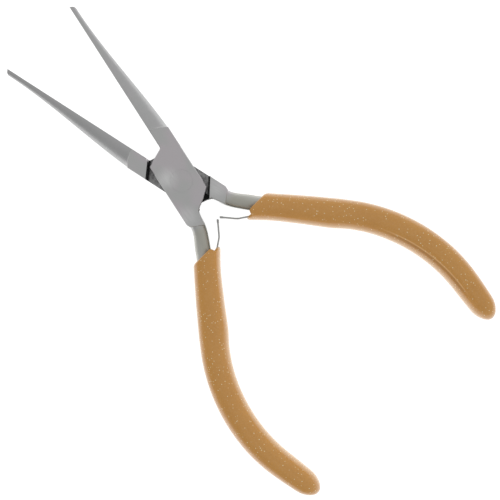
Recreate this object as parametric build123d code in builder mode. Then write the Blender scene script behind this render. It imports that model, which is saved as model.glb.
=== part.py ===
from build123d import *
from math import cos, radians, sin
import os

# Long nosed spring pliers with a lap joint, in millimetres.
# The row frame has +Y towards the jaw tips, +Z out of the front face, and its origin
# on the pivot axis at the flat underside of the joint.
# Each half is drawn as it lies when the pliers are closed, on a frame of its own whose
# XY plane is the lap plane: its jaw is at +X, its handle at -X, its lap plate at +Z.
# The two frames are turned apart by the opening angle, and the back one is turned over.

OPENING = 24.3  # angle between the gripping faces as the pliers rest open
JOINT_THICK = 8.0  # both lap plates together
LAP_GAP = 0.02  # each lap face stands this far off the lap plane
GRIND_BEVEL = 0.15  # bevel around the ground joint faces

# Head outline of one half
PLATE_HANDLE_SIDE = -5.6
PLATE_JAW_SIDE = 5.2
JAW_ROOT_Y = 11.1
JAW_ROOT_FILLET = 0.6
PLATE_TOP_CORNER = (PLATE_HANDLE_SIDE + 0.05, 8.2)
PLATE_LOW_EDGE = [(-0.6, -9.8), (0.5, -8.8), (2.7, -7.45), (PLATE_JAW_SIDE, -5.3)]
GROUND_FACE_END = [(PLATE_HANDLE_SIDE, -11.4), (-5.1, -12.5), (-1.3, -14.2)]
SCOOP = [(PLATE_JAW_SIDE, 15.0), (3.3, 16.2), (0.015, 17.0)]  # where the joint face ends

# Shoulders of the lap recess, as straight lines across the half
TOP_SHOULDER_Y = 11.25  # on the centre line
TOP_SHOULDER_SLOPE = -0.5
LOW_SHOULDER_Y = -9.31
LOW_SHOULDER_SLOPE = -0.592
RECESS_REACH = 9.0
CORNER_RELIEF = [(0, 12.0), (0.8, 10.85)]  # bevel that clears the other half's root fillet

# Jaw: flat gripping face and half round back, as (y, width, half height)
JAW_FACE = 0.015  # each gripping face stands this far off the centre plane
JAW_SECTIONS = [(13.0, 5.16, 3.95), (15.6, 5.04, 3.86), (36.6, 3.0, 2.4), (59.7, 1.46, 1.15)]
TIP_CHAMFER_START = (0.95, 59.26)
TIP_CHAMFER_ROUND = (1.35, 58.85)
TIP_CHAMFER_END = (1.6, 58.1)
TIP_CLEAR = 3.0  # the cut past the tip reaches this far to the outside

# Shank between joint and grip: centre, turn from -Y towards -X, width and thickness
SHANK_SECTIONS = [
    (-2.95, -11.6, 4.0, 4.15, 7.7),
    (-3.3, -14.4, 13.0, 4.1, 7.2),
    (-4.2, -16.8, 23.0, 4.2, 6.7),
    (-6.17, -21.3, 26.5, 4.5, 6.2),
]
SHANK_ROUND = 1.85

# Handle centre line: straight, then a long bow, then straight again
HANDLE_START = (-6.17, -21.3)
HANDLE_SPLAY = 26.5
HANDLE_STRAIGHT = 26.48
BOW_RADIUS = 49.0
BOW_ANGLE = 47.5
TANG_TAIL = 7.3
TANG_WIDTH = 4.5
TANG_THICK = 6.2

# Grip
GRIP_WIDTH = 8.7
GRIP_THICK = 9.8
GRIP_ROUND = 3.7
GRIP_TAIL = 12.8
GRIP_END_ROUND = 3.6
GRIP_OVERRUN = 5.0  # how far the sleeve is drawn past the mouth before the mouth is cut
MOUTH = [(-15.0, -22.6), (-10.4, -21.95), (-3.6, -20.9), (-2.9, -22.7), (-1.4, -22.25), (-0.9, -22.7)]
MOUTH_CLEAR = (4.0, -10.0)  # far corner of the cut that opens the mouth
LIP = [(-3.2, -22.4), (-1.4, -22.2), (-0.95, -22.7), (-2.5, -24.5), (-4.5, -25.6)]
LIP_THICK = 6.4

# Leaf springs
LEAF_THICK = 0.5
LEAF_WIDTH = 4.0
LEAF_BASE_START = 26.0  # along the handle from its start
LEAF_BASE_END = 3.0
LEAF_KNEE = (0.3, -19.3)
LEAF_TIP = (2.6, -14.95)
LEAF_ROLL_RADIUS = 0.36
FLEX_FROM_BASE = 4.4  # from the bend at the base to the line the leaf flexes about
FLEX_GAP = 0.1
LEAF_BEND = 1.2

# Rivets
PIVOT_RADIUS = 2.5
PIVOT_HEAD_RADIUS = 3.2
PIVOT_HEAD_DEPTH = 0.9
PIVOT_PLAY = 0.02
SPRING_RIVET_AT = 14.0  # along the handle from its start
SPRING_RIVET_RADIUS = 0.8
SPRING_RIVET_HEAD = 1.5
SPRING_RIVET_HEAD_THICK = 0.5
SPRING_RIVET_ROUND = 0.3

LAP_Z = JOINT_THICK / 2
HALF_TURN = radians(OPENING / 2)
FRONT = Plane((0, 0, LAP_Z), x_dir=(cos(HALF_TURN), -sin(HALF_TURN), 0), z_dir=(0, 0, 1))
BACK = Plane((0, 0, LAP_Z), x_dir=(-cos(HALF_TURN), -sin(HALF_TURN), 0), z_dir=(0, 0, -1))


def along_handle(distance, inward=0.0):
    """A point beside the straight of the handle, in a half's own frame."""
    turn = radians(HANDLE_SPLAY)
    x = HANDLE_START[0] - distance * sin(turn) + inward * cos(turn)
    y = HANDLE_START[1] - distance * cos(turn) - inward * sin(turn)
    return (x, y)


def upright_plane(frame, x, y, turn):
    """A plane across a half at (x, y), facing along -Y turned towards -X, with its Y along Z."""
    facing = Location((x, y, 0), (0, 0, -turn)) * Plane.XZ.location
    return Plane(frame.location * facing)


def handle_line(frame, start_back, tail):
    """Centre line of the handle, from start_back before its start to the end of its tail."""
    with BuildLine(frame) as line:
        first = Line(along_handle(-start_back), along_handle(HANDLE_STRAIGHT))
        bow = JernArc(start=first @ 1, tangent=first % 1, radius=BOW_RADIUS, arc_size=BOW_ANGLE)
        Line(bow @ 1, bow @ 1 + (bow % 1) * tail)
    return line


def bar_section(frame, line, width, thick, corner):
    """The rounded section of a bar that follows a handle line, at the line's start."""
    start = line.line @ 0
    ahead = line.line % 0
    with BuildSketch(Plane(start, x_dir=frame.z_dir.cross(ahead), z_dir=ahead)) as section:
        RectangleRounded(width, thick, corner)
    return section.sketch


def pivot_profile(play):
    """Half section of the pivot rivet, or of its hole if there is play."""
    waist = PIVOT_RADIUS + play
    head = PIVOT_HEAD_RADIUS + play
    with BuildSketch(Plane.XZ) as profile:
        with BuildLine():
            Polyline(
                (0, 0),
                (head, 0),
                (waist, PIVOT_HEAD_DEPTH),
                (waist, JOINT_THICK - PIVOT_HEAD_DEPTH),
                (head, JOINT_THICK),
                (0, JOINT_THICK),
                close=True,
            )
        make_face()
    return profile


def make_half(frame, play):
    """One forged half: jaw, lap plate, shank, and the tang inside the grip."""
    with BuildPart() as half:
        # Ground joint block, at full thickness
        with BuildSketch(frame):
            with BuildLine():
                Polyline(SCOOP[2], (JAW_FACE, JAW_ROOT_Y), PLATE_TOP_CORNER, *GROUND_FACE_END,
                         *PLATE_LOW_EDGE, SCOOP[0])
                ThreePointArc(*SCOOP)
            make_face()
        extrude(amount=JOINT_THICK / 2, both=True)
        root = frame.from_local_coords((JAW_FACE, JAW_ROOT_Y, 0))
        fillet(half.edges().filter_by(Axis.Z).sort_by_distance(root)[0], JAW_ROOT_FILLET)
        chamfer(half.faces().filter_by(Axis.Z).edges(), GRIND_BEVEL)

        # Shank, thinning from the joint to the grip
        for x, y, turn, width, thick in SHANK_SECTIONS:
            with BuildSketch(upright_plane(frame, x, y, turn)):
                RectangleRounded(width, thick, SHANK_ROUND)
        loft()

        # Tang, bowed like the grip around it
        line = handle_line(frame, 0, TANG_TAIL)
        section = bar_section(frame, line, TANG_WIDTH, TANG_THICK, SHANK_ROUND)
        sweep(section, path=line.line)

        # Half round jaw, with its tip ground back towards the outside
        for y, width, half_height in JAW_SECTIONS:
            with BuildSketch(upright_plane(frame, 0, y, 0)):
                with BuildLine():
                    EllipticalCenterArc((JAW_FACE, 0), width, half_height, start_angle=-90, arc_size=180)
                    Line((JAW_FACE, half_height), (JAW_FACE, -half_height))
                make_face()
        loft()
        tip_y = JAW_SECTIONS[-1][0]
        with BuildSketch(frame):
            with BuildLine():
                Polyline((0, tip_y + TIP_CLEAR), (0, tip_y), TIP_CHAMFER_START)
                ThreePointArc(TIP_CHAMFER_START, TIP_CHAMFER_ROUND, TIP_CHAMFER_END)
                Polyline(TIP_CHAMFER_END, (TIP_CLEAR, TIP_CHAMFER_END[1]), (TIP_CLEAR, tip_y + TIP_CLEAR),
                         (0, tip_y + TIP_CLEAR))
            make_face()
        extrude(amount=JOINT_THICK / 2, both=True, mode=Mode.SUBTRACT)

        # Lap recess, milled to half thickness between its two shoulders
        with BuildSketch(frame.offset(LAP_GAP)):
            with BuildLine():
                Polyline(
                    (-RECESS_REACH, CORNER_RELIEF[0][1]),
                    *CORNER_RELIEF,
                    (RECESS_REACH, TOP_SHOULDER_Y + TOP_SHOULDER_SLOPE * RECESS_REACH),
                    (RECESS_REACH, LOW_SHOULDER_Y + LOW_SHOULDER_SLOPE * RECESS_REACH),
                    (-RECESS_REACH, LOW_SHOULDER_Y - LOW_SHOULDER_SLOPE * RECESS_REACH),
                    close=True,
                )
            make_face()
        extrude(amount=-JOINT_THICK, mode=Mode.SUBTRACT)

        # Countersunk pivot hole, and the hole for the spring rivet
        revolve(pivot_profile(play).sketch, axis=Axis.Z, mode=Mode.SUBTRACT)
        with BuildSketch(spring_rivet_plane(frame)):
            Circle(SPRING_RIVET_RADIUS)
        extrude(amount=TANG_WIDTH, both=True, mode=Mode.SUBTRACT)
    return half


def spring_rivet_plane(frame):
    """A plane on the handle's centre line, facing inwards along the spring rivet."""
    origin = frame.from_local_coords((*along_handle(SPRING_RIVET_AT), 0))
    inward = frame.from_local_coords((*along_handle(SPRING_RIVET_AT, 1), 0)) - origin
    return Plane(origin, x_dir=frame.z_dir, z_dir=inward)


def make_spring_rivet(frame):
    """A small rivet that holds the leaf to the tang, its head on the leaf."""
    head_base = TANG_WIDTH / 2 + LEAF_THICK
    with BuildPart() as rivet:
        with BuildSketch(spring_rivet_plane(frame).offset(-TANG_WIDTH / 2)):
            Circle(SPRING_RIVET_RADIUS)
        extrude(amount=TANG_WIDTH + LEAF_THICK)
        with BuildSketch(spring_rivet_plane(frame).offset(head_base)):
            Circle(SPRING_RIVET_HEAD)
        extrude(amount=SPRING_RIVET_HEAD_THICK)
        fillet(rivet.edges().filter_by(GeomType.CIRCLE).sort_by(SortBy.RADIUS)[-1], SPRING_RIVET_ROUND)
    return rivet


def leaf_points():
    """The leaf's centre line from its base to its tip, and the point it flexes about."""
    stand_off = TANG_WIDTH / 2 + LEAF_THICK / 2
    base = along_handle(LEAF_BASE_START, stand_off)
    bend = along_handle(LEAF_BASE_END, stand_off)
    run = Vector(*LEAF_KNEE) - Vector(*bend)
    flex = Vector(*bend) + run.normalized() * FLEX_FROM_BASE
    stop = flex - run.normalized() * (LEAF_THICK / 2 + FLEX_GAP)
    return base, bend, (stop.X, stop.Y), (flex.X, flex.Y)


def make_leaf_base(frame):
    """The part of a leaf spring that is riveted along the tang."""
    base, bend, stop, flex = leaf_points()
    with BuildPart() as leaf:
        with BuildSketch(frame):
            with BuildLine():
                FilletPolyline(base, bend, stop, radius=LEAF_BEND)
            trace(line_width=LEAF_THICK)
        extrude(amount=LEAF_WIDTH / 2, both=True)
        with BuildSketch(spring_rivet_plane(frame)):
            Circle(SPRING_RIVET_RADIUS)
        extrude(amount=TANG_WIDTH, mode=Mode.SUBTRACT)
    return leaf


def make_leaf_arm(frame):
    """The free part of a leaf spring, with a rolled tip."""
    base, bend, stop, flex = leaf_points()
    with BuildPart() as leaf:
        with BuildSketch(frame):
            with BuildLine():
                FilletPolyline(flex, LEAF_KNEE, LEAF_TIP, radius=LEAF_BEND)
            trace(line_width=LEAF_THICK)
            with Locations(flex):
                Circle(LEAF_THICK / 2)
            with Locations(LEAF_TIP):
                Circle(LEAF_ROLL_RADIUS)
        extrude(amount=LEAF_WIDTH / 2, both=True)
    return leaf


def make_grip(frame, *inner_pieces):
    """A dipped sleeve, closed at its end, hollowed by the pieces inside it."""
    with BuildPart() as grip:
        line = handle_line(frame, GRIP_OVERRUN, GRIP_TAIL)
        section = bar_section(frame, line, GRIP_WIDTH, GRIP_THICK, GRIP_ROUND)
        sweep(section, path=line.line)
        end = line.line @ 1
        end_face = grip.faces().filter_by(GeomType.PLANE).sort_by_distance(end)[0]
        fillet(end_face.edges(), GRIP_END_ROUND)
        with BuildSketch(frame):
            with BuildLine():
                Polyline(*LIP, close=True)
            make_face()
        extrude(amount=LIP_THICK / 2, both=True)
        with BuildSketch(frame):
            with BuildLine():
                Polyline(*MOUTH, (MOUTH_CLEAR[0], MOUTH[-1][1]), MOUTH_CLEAR,
                         (MOUTH[0][0], MOUTH_CLEAR[1]), close=True)
            make_face()
        extrude(amount=GRIP_THICK, both=True, mode=Mode.SUBTRACT)
        for piece in inner_pieces:
            add(piece.part, mode=Mode.SUBTRACT)
    return grip


os.makedirs("parts", exist_ok=True)
with BuildPart() as pivot_rivet:
    revolve(pivot_profile(0).sketch, axis=Axis.Z)

pieces = {"pivot_rivet": pivot_rivet}
for side, frame, play in (("front", FRONT, PIVOT_PLAY), ("back", BACK, 0)):
    half = make_half(frame, play)
    leaf_base = make_leaf_base(frame)
    spring_rivet = make_spring_rivet(frame)
    pieces[side + "_half"] = half
    pieces[side + "_spring_base"] = leaf_base
    pieces[side + "_spring_arm"] = make_leaf_arm(frame)
    pieces[side + "_spring_rivet"] = spring_rivet
    pieces[side + "_grip"] = make_grip(frame, half, leaf_base, spring_rivet)

for name, piece in pieces.items():
    piece.part.label = name
    export_step(piece.part, "parts/" + name + ".step")
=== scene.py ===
import math

import bpy
from mathutils import Matrix, Vector


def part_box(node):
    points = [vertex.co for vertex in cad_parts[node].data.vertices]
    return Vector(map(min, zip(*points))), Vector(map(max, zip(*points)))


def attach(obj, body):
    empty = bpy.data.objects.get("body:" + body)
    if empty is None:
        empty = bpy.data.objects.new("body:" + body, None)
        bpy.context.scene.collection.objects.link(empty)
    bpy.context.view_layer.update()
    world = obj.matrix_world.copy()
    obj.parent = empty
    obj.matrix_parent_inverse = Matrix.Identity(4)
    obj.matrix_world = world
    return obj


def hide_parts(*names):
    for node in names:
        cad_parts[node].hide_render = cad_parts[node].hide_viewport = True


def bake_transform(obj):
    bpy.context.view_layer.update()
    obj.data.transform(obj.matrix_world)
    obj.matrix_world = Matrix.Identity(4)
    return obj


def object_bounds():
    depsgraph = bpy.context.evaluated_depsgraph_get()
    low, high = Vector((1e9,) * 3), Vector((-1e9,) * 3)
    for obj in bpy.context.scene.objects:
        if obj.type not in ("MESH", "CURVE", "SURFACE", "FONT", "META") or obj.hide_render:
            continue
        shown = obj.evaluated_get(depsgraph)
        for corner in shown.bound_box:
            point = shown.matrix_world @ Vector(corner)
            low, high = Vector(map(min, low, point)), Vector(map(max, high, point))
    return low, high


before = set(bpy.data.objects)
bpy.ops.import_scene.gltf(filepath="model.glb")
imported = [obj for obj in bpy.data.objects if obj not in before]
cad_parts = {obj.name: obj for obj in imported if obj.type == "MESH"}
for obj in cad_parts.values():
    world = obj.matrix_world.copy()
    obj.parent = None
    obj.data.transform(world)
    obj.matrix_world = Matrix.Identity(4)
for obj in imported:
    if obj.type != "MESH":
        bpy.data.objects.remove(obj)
cad_low, cad_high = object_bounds()
bpy.ops.object.select_all(action="DESELECT")

# ---- Forged halves and pivot rivet ----
# Two like halves of tool steel, one turned over, joined by a countersunk rivet that is ground flush.
# The joint faces are ground flat, the jaws are ground across, and the shanks are left as tumbled.
# The milled lap recesses keep their dark heat treatment scale and oil, darkened further by painted shade,
# with painted near-black shade in their corners.
MM = 0.001
half_opening = math.radians(24.3 / 2)
lap_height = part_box("front_half")[1].z / 2
halves = (("front", 1), ("back", -1))


class Value:
    """A number in a material, so that shader maths can be written as plain sums."""

    def __init__(self, finish, socket):
        self.finish = finish
        self.socket = socket

    def maths(self, operation, first, second=0.0):
        made = self.finish.node("Math", {0: first, 1: second}, operation=operation)
        return Value(self.finish, made.outputs[0])

    def __add__(self, other):
        return self.maths("ADD", self, other)

    def __radd__(self, other):
        return self.maths("ADD", other, self)

    def __sub__(self, other):
        return self.maths("SUBTRACT", self, other)

    def __rsub__(self, other):
        return self.maths("SUBTRACT", other, self)

    def __mul__(self, other):
        return self.maths("MULTIPLY", self, other)

    def __rmul__(self, other):
        return self.maths("MULTIPLY", other, self)

    def __gt__(self, other):
        return self.maths("GREATER_THAN", self, other)

    def __lt__(self, other):
        return self.maths("LESS_THAN", self, other)

    def size(self):
        return self.maths("ABSOLUTE", self)


class Finish:
    """One material in the making, round its Principled shader."""

    def __init__(self, name, **constants):
        self.material = bpy.data.materials.new(name)
        self.material.use_nodes = True
        self.nodes = self.material.node_tree.nodes
        self.links = self.material.node_tree.links
        self.shader = self.nodes["Principled BSDF"]
        for socket, value in constants.items():
            self.shader.inputs[socket.replace("_", " ")].default_value = value

    def feed(self, socket, value):
        """Puts a number, a colour or another node's output into a socket."""
        if isinstance(value, Value):
            value = value.socket
        if isinstance(value, bpy.types.NodeSocket):
            self.links.new(value, socket)
        else:
            socket.default_value = value

    def node(self, kind, inputs, **settings):
        made = self.nodes.new("ShaderNode" + kind)
        for name, value in settings.items():
            setattr(made, name, value)
        for key, value in inputs.items():
            self.feed(made.inputs[key], value)
        return made

    def place(self, scale=(1, 1, 1), turn=0.0, shift=(0, 0, 0)):
        """Object coordinates, scaled, then turned about Z, then shifted."""
        here = self.node("TexCoord", {}).outputs["Object"]
        turned = {"Vector": here, "Scale": scale, "Rotation": (0, 0, turn), "Location": shift}
        return self.node("Mapping", turned).outputs[0]

    def stretch(self, vector, scale):
        return self.node("Mapping", {"Vector": vector, "Scale": scale}).outputs[0]

    def axes(self, vector):
        split = self.node("SeparateXYZ", {0: vector})
        return [Value(self, output) for output in split.outputs]

    def noise(self, vector, scale, detail=2.0, roughness=0.5):
        made = {"Vector": vector, "Scale": scale, "Detail": detail, "Roughness": roughness}
        return Value(self, self.node("TexNoise", made).outputs["Fac"])

    def step(self, value, low, high):
        """0 below low, 1 above high, and smooth between them."""
        span = {"Value": value, "From Min": low, "From Max": high}
        made = self.node("MapRange", span, interpolation_type="SMOOTHSTEP")
        return Value(self, made.outputs[0])

    def spot(self, x, y, centre, reach):
        """1 at a place in the plan, fading to 0 at its reach."""
        away = self.node("VectorMath", {0: self.joined(x, y), 1: (*centre, 0)}, operation="DISTANCE")
        return 1 - self.step(Value(self, away.outputs["Value"]), 0.0, reach)

    def joined(self, x, y):
        return self.node("CombineXYZ", {0: x, 1: y}).outputs[0]

    def mix(self, factor, first, second):
        made = self.node("Mix", {0: factor, 6: first, 7: second}, data_type="RGBA")
        return made.outputs[2]

    def bump(self, height, distance, strength=1.0):
        made = {"Height": height, "Distance": distance, "Strength": strength}
        self.feed(self.shader.inputs["Normal"], self.node("Bump", made).outputs[0])


def grey(level):
    return (level, level, level, 1)


def ground_steel(name, over):
    """Steel in a half's own millimetres: +x jaw side, +y to the tips, +z out of its lap plate."""
    steel = Finish(name, Metallic=1.0)
    scale = (over / MM, 1 / MM, over / MM)
    own = steel.place(scale, half_opening, (0, 0, -over * lap_height / MM))
    x, y, z = steel.axes(own)
    broad = steel.noise(own, 0.16, 1.0)
    cross_marks = steel.noise(steel.stretch(own, (0.25, 1.3, 0.25)), 1.0, 3.0, 0.6)
    fine_marks = steel.noise(steel.stretch(own, (0.5, 5.0, 0.5)), 1.0, 2.0, 0.6)
    brush_marks = steel.noise(steel.stretch(own, (1.6, 0.25, 0.5)), 1.0, 3.0, 0.6)
    on_shank = steel.step(-1 * y, 12.6, 15.5)
    on_jaw = steel.step(y, 15.5, 18.0)

    # Blotches, and two patches of painted highlight on the lap plate, streaked by the brush marks
    cool_steel = (0.475, 0.48, 0.475, 1)
    warm_steel = (0.515, 0.49, 0.505, 1)
    patches = steel.step(broad, 0.35, 0.65) * (1 - 0.7 * on_jaw)
    tone = steel.mix(patches, cool_steel, warm_steel)
    painted_highlight_patches = steel.spot(x, y, (-3.0, 2.8), 4.2) + 0.7 * steel.spot(x, y, (-4.2, -9.6), 4.5)
    tone = steel.mix(painted_highlight_patches * brush_marks, tone, grey(0.78))

    # Shanks, with painted light on their outer side and painted shade on their inner side, and grinding
    # marks across the jaws
    shank_painted_shade = (0.45, 0.445, 0.395, 1)
    shank_painted_light = (0.56, 0.555, 0.52, 1)
    past_shank_line = 0.33 * (y + 11.6) - x - 2.95
    shank_light_and_shade_tone = steel.mix(steel.step(past_shank_line, -0.6, 1.9), shank_painted_shade, shank_painted_light)
    tone = steel.mix(on_shank, tone, shank_light_and_shade_tone)
    tone = steel.mix(on_jaw * cross_marks * 0.5, tone, (0.40, 0.40, 0.41, 1))

    # Painted highlight along the edge of the lap plate on the jaw side
    painted_edge_highlight = (x > 5.0) * steel.step(y, 1.2, 1.6) * (y < 8.4) * (z > 3.8)
    tone = steel.mix(painted_edge_highlight, tone, grey(0.70))

    # Scale left in the lap recess between its two slanted walls, darkened by painted shade, with painted
    # near-black shade in its corners and on the notch's side wall
    past_top = y + 0.5 * x - 11.25
    past_low = y + 0.592 * x + 9.31
    to_top = past_top.size()
    to_low = past_low.size()
    lap_floor = ((z - 0.02).size() < 0.3) * (past_top < 0.2) * (past_low > -0.2)
    shaded_lap_wall = (z < 0.0) * steel.step((to_top < 0.25) + (to_low < 0.25), 0.0, 1.0)
    notch_wall_painted_shade = (z.size() < 3.8) * (y < -4.8) * (y > -10.2) * (x > -0.9)
    recess_scale_and_shade = steel.step(lap_floor + shaded_lap_wall + notch_wall_painted_shade, 0.0, 1.0)
    mottle = steel.noise(own, 1.1, 3.0, 0.6)
    scale_and_painted_shade_tone = steel.mix(steel.step(mottle, 0.3, 0.7), grey(0.26), grey(0.46))
    # Painted shade: near-black in the recess's corners and on the notch's side wall
    corner = (1 - steel.step(to_top, 0.2, 0.9)) + (1 - steel.step(to_low, 0.2, 0.9)) + notch_wall_painted_shade
    scale_and_painted_shade_tone = steel.mix(corner, scale_and_painted_shade_tone, grey(0.03))
    tone = steel.mix(recess_scale_and_shade, tone, scale_and_painted_shade_tone)
    steel.feed(steel.shader.inputs["Base Color"], tone)

    rough = 0.32 + 0.10 * broad + 0.10 * on_shank + 0.10 * on_jaw * cross_marks + 0.2 * recess_scale_and_shade
    steel.feed(steel.shader.inputs["Roughness"], rough)
    steel.bump(cross_marks * on_jaw + 0.3 * fine_marks, 0.02 * MM, 0.5)
    return steel.material


def dress(node, material):
    """Gives a CAD node one material all over."""
    mesh = bpy.data.objects[node].data
    mesh.materials.clear()
    mesh.materials.append(material)


front_steel = ground_steel("ground_steel_front", 1)
back_steel = ground_steel("ground_steel_back", -1)
dress("front_half", front_steel)
dress("back_half", back_steel)
dress("pivot_rivet", front_steel)

# ---- Leaf springs ----
# One thin strip of spring steel on each tang, riveted under the grip. It leaves the grip's mouth,
# bends once at a knee and ends in a thick rolled edge that pushes on the other leaf.
handle_start = (-6.17, -21.3)
handle_splay = math.radians(26.5)
straight_length = 26.48
bow_radius = 49.0
bow_angle = math.radians(47.5)


def on_handle(along, inward):
    """A point beside the handle's centre line in a half's own millimetres, and the line's angle there."""
    turned = min(max((along - straight_length) / bow_radius, 0.0), bow_angle)
    start = min(along, straight_length)
    x = handle_start[0] - start * math.sin(handle_splay)
    y = handle_start[1] - start * math.cos(handle_splay)
    now = handle_splay - turned
    x -= bow_radius * (math.cos(now) - math.cos(handle_splay))
    y -= bow_radius * (math.sin(handle_splay) - math.sin(now))
    tail = max(along - straight_length - bow_radius * bow_angle, 0.0)
    x -= tail * math.sin(now)
    y -= tail * math.cos(now)
    return (x + inward * math.cos(now), y - inward * math.sin(now), now)


def in_place(x, y, z, over):
    """From a half's own millimetres to the row frame in metres, with the pliers at rest."""
    point = Vector((x * over, y, z * over)) * MM
    turned = Matrix.Rotation(-over * half_opening, 4, "Z") @ point
    return turned + Vector((0, 0, lap_height))


def rolled_skin(name, rings, around, spot, lie=None):
    """A sheet rolled up into a closed skin: spot(ring, share) places each of its points.

    lie(ring, share) gives each point's place on the piece, for patterns that follow the piece.
    """
    bpy.ops.mesh.primitive_grid_add(x_subdivisions=rings - 1, y_subdivisions=around, size=2)
    skin = bpy.context.object
    skin.name = name
    if lie:
        skin.data.attributes.new("lie", "FLOAT_VECTOR", "POINT")
    for index, vertex in enumerate(skin.data.vertices):
        ring = round((vertex.co.x + 1) / 2 * (rings - 1))
        share = (vertex.co.y + 1) / 2
        vertex.co = spot(ring, share)
        if lie:
            skin.data.attributes["lie"].data[index].vector = lie(ring, share)
    bpy.ops.object.mode_set(mode="EDIT")
    bpy.ops.mesh.select_all(action="SELECT")
    bpy.ops.mesh.remove_doubles(threshold=0.002 * MM)
    bpy.ops.mesh.normals_make_consistent(inside=False)
    bpy.ops.object.mode_set(mode="OBJECT")
    bpy.ops.object.shade_smooth()
    skin.select_set(False)
    return skin


def rounded(share, half_width, half_height, squareness):
    """A point of a rounded section, share of the way round it."""
    angle = 2 * math.pi * share
    across = math.copysign(abs(math.cos(angle)) ** (2 / squareness), math.cos(angle))
    up = math.copysign(abs(math.sin(angle)) ** (2 / squareness), math.sin(angle))
    return across * half_width, up * half_height


leaf_thick = 0.45
leaf_width = 4.0
leaf_offset = 2.5
leaf_squareness = 8
roll_radius = 0.31
roll_length = 0.8
roll_rings = 5
bend_ease = 0.6
bend_steps = 6
leaf_ring_gap = 0.35
leaf_start = Vector(on_handle(26.0, leaf_offset)[:2])
mouth_bend = Vector(on_handle(3.0, leaf_offset)[:2])
knee = Vector((0.3, -19.3))
leaf_end = Vector((2.6, -14.95))
# A line this far past the mouth bend, and spans before and after it; their end points are worked out below
# but not used
flex_from_bend = 4.4
bent_before = 1.2
bent_after = 1.4


def leaf_line():
    """Centre line of a leaf with its two bends eased, in a half's own millimetres."""
    corners = [leaf_start, mouth_bend, knee, leaf_end]
    line = [leaf_start]
    for last, corner, following in zip(corners, corners[1:], corners[2:]):
        before = corner + (last - corner).normalized() * bend_ease
        after = corner + (following - corner).normalized() * bend_ease
        for step in range(bend_steps + 1):
            share = step / bend_steps
            line.append((1 - share) ** 2 * before + 2 * share * (1 - share) * corner + share ** 2 * after)
    line.append(leaf_end)
    even = [line[0]]
    for a, b in zip(line, line[1:]):
        pieces = max(1, round((b - a).length / leaf_ring_gap))
        even += [a.lerp(b, k / pieces) for k in range(1, pieces + 1)]
    return even


def make_leaf(side, over):
    """One whole leaf: a closed first ring, the strip, the swell of its roll and the roll's round end."""
    line = leaf_line()
    last = len(line) - 1

    def spot(ring, share):
        at = min(max(ring - 1, 0), last)
        ahead = (line[min(at + 1, last)] - line[max(at - 1, 0)]).normalized()
        centre = line[at].copy()
        to_end = (leaf_end - line[at]).length
        thick = leaf_thick / 2
        if to_end < roll_length:
            thick += (roll_radius - leaf_thick / 2) * math.sqrt(1 - (to_end / roll_length) ** 2)
        if ring == 0:
            thick = 0.0
        if ring > last + 1:
            bow = (ring - last - 1) / roll_rings * math.pi / 2
            centre += ahead * roll_radius * math.sin(bow)
            thick = roll_radius * math.cos(bow)
        across, up = rounded(share, thick, leaf_width / 2 if thick else 0.0, leaf_squareness)
        beside = Vector((ahead.y, -ahead.x)) * across
        return in_place(centre.x + beside.x, centre.y + beside.y, up, over)

    return rolled_skin(side + "_leaf_spring", last + 2 + roll_rings, 28, spot)


leaf_steel = Finish("spring_steel", Metallic=1.0)
strip = leaf_steel.noise(leaf_steel.place((1 / MM, 1 / MM, 1 / MM)), 1.2, 3.0)
leaf_tone = leaf_steel.mix(strip, (0.30, 0.30, 0.29, 1), (0.45, 0.45, 0.44, 1))
leaf_steel.feed(leaf_steel.shader.inputs["Base Color"], leaf_tone)
leaf_steel.feed(leaf_steel.shader.inputs["Roughness"], 0.3 + 0.2 * strip)

for side, over in halves:
    leaf = make_leaf(side, over)
    leaf.data.materials.append(leaf_steel.material)
    run = (knee - mouth_bend).normalized()
    bend_start = mouth_bend + run * (flex_from_bend - bent_before)
    bend_end = mouth_bend + run * (flex_from_bend + bent_after)
    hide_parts(side + "_spring_base", side + "_spring_arm")
    in_place(*bend_start, 0, over)
    in_place(*bend_end, 0, over)
    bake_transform(leaf)
    dress(side + "_spring_rivet", leaf_steel.material)

# ---- Grips ----
# A sleeve of gold vinyl with fine glitter on each tang, closed and rounded at its end.
# Its mouth is cut at a slant, with a notch where the leaf spring comes out and a lip beyond it.
grip_half_thick = 4.9
sleeve_end = 80.0
end_round = 5.2
# Distance from the centre line to the outer and to the inner side, along the handle
grip_sides = [
    (-2.0, 3.3, 5.0), (1.0, 3.4, 4.65), (4.0, 3.5, 4.4), (7.0, 3.65, 4.3), (14.0, 3.95, 4.38),
    (18.0, 4.05, 4.5), (21.5, 4.1, 4.62), (23.5, 4.15, 4.56), (26.5, 4.1, 4.35), (34.0, 4.1, 4.3),
    (42.0, 4.1, 4.3), (51.0, 4.15, 4.2), (58.0, 4.18, 4.08), (65.0, 4.1, 3.95), (70.0, 4.0, 3.8),
    (75.0, 3.75, 3.55), (80.0, 3.2, 3.1),
]
# The mouth in plan, as (inward from the centre line, along the handle)
mouth_edge = [
    (-3.9, 3.6), (-3.5, 2.75), (-3.0, 2.15), (2.1, -1.5), (2.9, -1.1), (3.5, -0.7), (4.2, -1.5),
    (4.8, -1.85), (5.3, -1.3),
]
# The sleeve's section at the mouth, and how far its cut edge is rounded
mouth_along = -1.0
edge_round = 0.25
# The hollow behind the mouth: half its width and thickness, its shift inward, and its closed bottom
hollow_half_width = 3.25
hollow_half_thick = 3.2
hollow_squareness = 4
hollow_shift = 0.95
hollow_bottom = (0.9, 0.0, 4.0)
# Rings from deep inside the mouth, round its edge, along the sleeve and over its end
mouth_rings = [("cap", 0), ("inside", 3.0), ("inside", 0.6), ("edge", 0.75), ("edge", 0.35), ("edge", 0.1)]
easing_rings = 10
sleeve_rings = 63
sleeve_start = 6.0
ring_gap = 1.1
end_rings = 12
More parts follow.
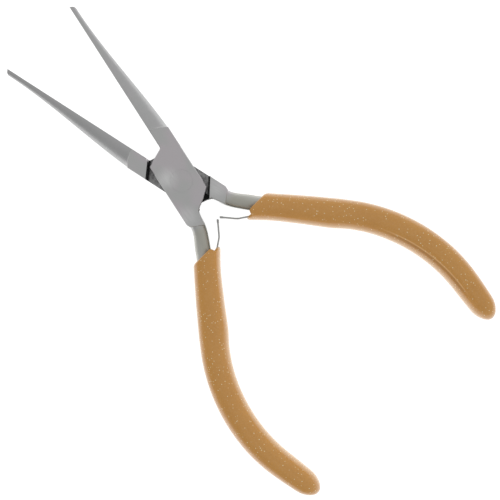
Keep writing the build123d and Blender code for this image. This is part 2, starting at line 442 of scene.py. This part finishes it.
# The inner side is rounder than the outer one, and both faces sink a little down the middle
inner_squareness = 2.0
outer_squareness = 2.5
sink_depth = 0.16
sink_inward = 0.3
sink_width = 0.35


def ramp(value, low, high):
    """0 at low and 1 at high, held beyond them."""
    return min(max((value - low) / (high - low), 0.0), 1.0)


def between(rows, at):
    """Reads a table of rows at a value, in a straight line from row to row."""
    for low, high in zip(rows, rows[1:]):
        if at <= high[0]:
            share = ramp(at, low[0], high[0])
            return [a + (b - a) * share for a, b in zip(low[1:], high[1:])]
    return rows[-1][1:]


def sleeve_point(along, share, shrink=0.0):
    """A point of the sleeve's section, as inward from the centre line and up from the lap plane."""
    outer, inner = between(grip_sides, along)
    half_width = (outer + inner) / 2 - shrink
    squareness = inner_squareness if abs(share - 0.5) > 0.25 else outer_squareness
    across, up = rounded(share, half_width, grip_half_thick - shrink, squareness)
    sink = sink_depth * math.exp(-((across - sink_inward) / sink_width) ** 2) * math.copysign(1, up)
    sunk = ramp(along, 44, 52) * ramp(along, 77, 73)
    return across + (inner - outer) / 2, up - sink * sunk


def make_grip(side, over):
    first_easing = len(mouth_rings) + 1
    first_sleeve = first_easing + easing_rings
    first_end = first_sleeve + sleeve_rings

    def spot(ring, share):
        mouth = between(mouth_edge, sleeve_point(mouth_along, share)[0])[0]
        edge = mouth + edge_round
        if ring < len(mouth_rings):
            kind, amount = mouth_rings[ring]
            if kind == "edge":
                inward, up = sleeve_point(mouth_along, share, amount)
                along = mouth - edge_round + 0.35 * (1 - amount) ** 4
            elif kind == "inside":
                inward, up = rounded(share, hollow_half_width, hollow_half_thick, hollow_squareness)
                inward += hollow_shift
                along = mouth + amount
            else:
                inward, up, along = hollow_bottom
        elif ring < first_easing:
            inward, up = sleeve_point(mouth_along, share)
            along = edge
        elif ring < first_end:
            ease = (ring - first_easing + 1) / (easing_rings + 1)
            along = edge + (sleeve_start - edge) * ease
            if ring >= first_sleeve:
                along = sleeve_start + ring_gap * (ring - first_sleeve)
            inward, up = sleeve_point(along, share)
        else:
            bow = (ring - first_end + 1) / end_rings * math.pi / 2
            along = sleeve_end - end_round + end_round * math.sin(bow)
            inward, up = sleeve_point(along, share)
            inward *= math.cos(bow)
            up *= math.cos(bow)
        x, y, _ = on_handle(along, inward)
        return in_place(x, y, up, over)

    def lie(ring, share):
        """How far to the outer (-1) or inner (1) side, how far down the sleeve, and which half."""
        along = sleeve_start + ring_gap * (ring - first_sleeve)
        return (math.cos(2 * math.pi * share), along, over)

    return rolled_skin(side + "_grip_sleeve", first_end + end_rings, 56, spot, lie)


vinyl = Finish("gold_glitter_vinyl", IOR=1.5, Coat_Weight=1.0, Coat_Roughness=0.12)
at = vinyl.place((1 / MM, 1 / MM, 1 / MM))
cloud = vinyl.noise(at, 0.12, 2.0)
grain = vinyl.noise(at, 2.2, 2.0)
vinyl_tone = vinyl.mix(cloud, (0.575, 0.250, 0.026, 1), (0.645, 0.300, 0.040, 1))
vinyl_tone = vinyl.mix(vinyl.step(grain, 0.4, 0.75) * 0.3, vinyl_tone, (0.70, 0.38, 0.10, 1))

# Painted reflection: paler along the inner and outer sides of each sleeve, and a wide painted sheen on the
# front half's sleeve
lie_node = vinyl.node("Attribute", {}, attribute_name="lie")
sideways, down, half = vinyl.axes(lie_node.outputs["Vector"])
inner_painted_reflection = vinyl.step(sideways, 0.70, 0.98)
outer_painted_reflection = vinyl.step(-1 * sideways, 0.80, 1.0)
front_painted_sheen = (half > 0.0) * vinyl.step(-1 * sideways, 0.42, 0.72) * vinyl.step(down, 36.0, 50.0)
front_painted_sheen = front_painted_sheen * (1 - vinyl.step(down, 66.0, 73.0))
vinyl_tone = vinyl.mix(inner_painted_reflection * 0.65, vinyl_tone, (0.80, 0.50, 0.22, 1))
vinyl_tone = vinyl.mix(outer_painted_reflection * 0.5, vinyl_tone, (0.72, 0.46, 0.20, 1))
vinyl_tone = vinyl.mix(front_painted_sheen * 0.7, vinyl_tone, (0.74, 0.40, 0.16, 1))

# Painted highlight and painted shade of a crease down the back half's sleeve: a bright line with a dark
# band beside it
creased = (half < 0.0) * vinyl.step(down, 34.0, 46.0) * (1 - vinyl.step(down, 66.0, 71.0))
crease_painted_highlight = 1 - vinyl.step((sideways - 0.52).size(), 0.015, 0.06)
shade = vinyl.step(sideways, 0.53, 0.60) * (1 - vinyl.step(sideways, 0.66, 0.84))
vinyl_tone = vinyl.mix(creased * shade * 0.5, vinyl_tone, (0.36, 0.15, 0.03, 1))
vinyl_tone = vinyl.mix(creased * crease_painted_highlight * 0.7, vinyl_tone, (0.86, 0.50, 0.20, 1))

# Glitter: a small fleck in the middle of the cells that are picked
cells = vinyl.node("TexVoronoi", {"Vector": at, "Scale": 1.25})
cell_distance = Value(vinyl, cells.outputs["Distance"])
cell_pick = vinyl.axes(cells.outputs["Color"])[0]
fleck = (1 - vinyl.step(cell_distance, 0.12, 0.20)) * vinyl.step(cell_pick, 0.30, 0.42)
vinyl_tone = vinyl.mix(fleck, vinyl_tone, (1.0, 0.86, 0.52, 1))
vinyl.feed(vinyl.shader.inputs["Base Color"], vinyl_tone)
vinyl.feed(vinyl.shader.inputs["Metallic"], fleck * 0.3)
vinyl.feed(vinyl.shader.inputs["Roughness"], 0.34 + 0.08 * grain - 0.1 * fleck)
vinyl.bump(grain, 0.03 * MM, 0.4)

for side, over in halves:
    grip = make_grip(side, over)
    grip.data.materials.append(vinyl.material)
    smoother = grip.modifiers.new("even_skin", "SUBSURF")
    smoother.levels = 1
    smoother.render_levels = 1
    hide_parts(side + "_grip")
    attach(grip, side + "_body")

# ---- Floor, light and camera ----
# A white table lit from below under the pliers, an even light tent round them that is dimmer to one
# side, and a camera straight above, turned so that the jaws point up and to the left.
floor_height = cad_low.z - 0.02 * MM
bpy.ops.mesh.primitive_plane_add(size=4, location=(0, 0, floor_height))
floor = bpy.context.object
floor.name = "floor"
table = Finish("lit_white_table", Roughness=0.9, Emission_Strength=0.85)
table.shader.inputs["Base Color"].default_value = grey(0.55)
table.shader.inputs["Emission Color"].default_value = grey(1)
floor.data.materials.append(table.material)

tent = bpy.data.worlds.new("light_tent")
tent.use_nodes = True
bpy.context.scene.world = tent
sky = tent.node_tree
background = sky.nodes["Background"]
background.inputs["Color"].default_value = grey(1)
direction = sky.nodes.new("ShaderNodeTexCoord")
split = sky.nodes.new("ShaderNodeSeparateXYZ")
dimming = sky.nodes.new("ShaderNodeMapRange")
dimming.interpolation_type = "SMOOTHSTEP"
for setting, value in (("From Min", -0.9), ("From Max", 0.2), ("To Min", 0.52), ("To Max", 0.72)):
    dimming.inputs[setting].default_value = value
sky.links.new(direction.outputs["Generated"], split.inputs[0])
sky.links.new(split.outputs["X"], dimming.inputs["Value"])
sky.links.new(dimming.outputs[0], background.inputs["Strength"])

view_centre = (-0.1 * MM, -27.8 * MM)
view_width = 144.25 * MM
view_turn = -math.pi / 4
camera_height = 0.36
film_width = 36
bpy.ops.object.camera_add(location=(*view_centre, camera_height), rotation=(0, 0, view_turn))
camera = bpy.context.object
camera.data.sensor_width = film_width
camera.data.lens = film_width * (camera_height - lap_height) / view_width
camera.data.clip_start = 0.01
bpy.context.scene.camera = camera
bpy.context.scene.view_settings.view_transform = "Standard"
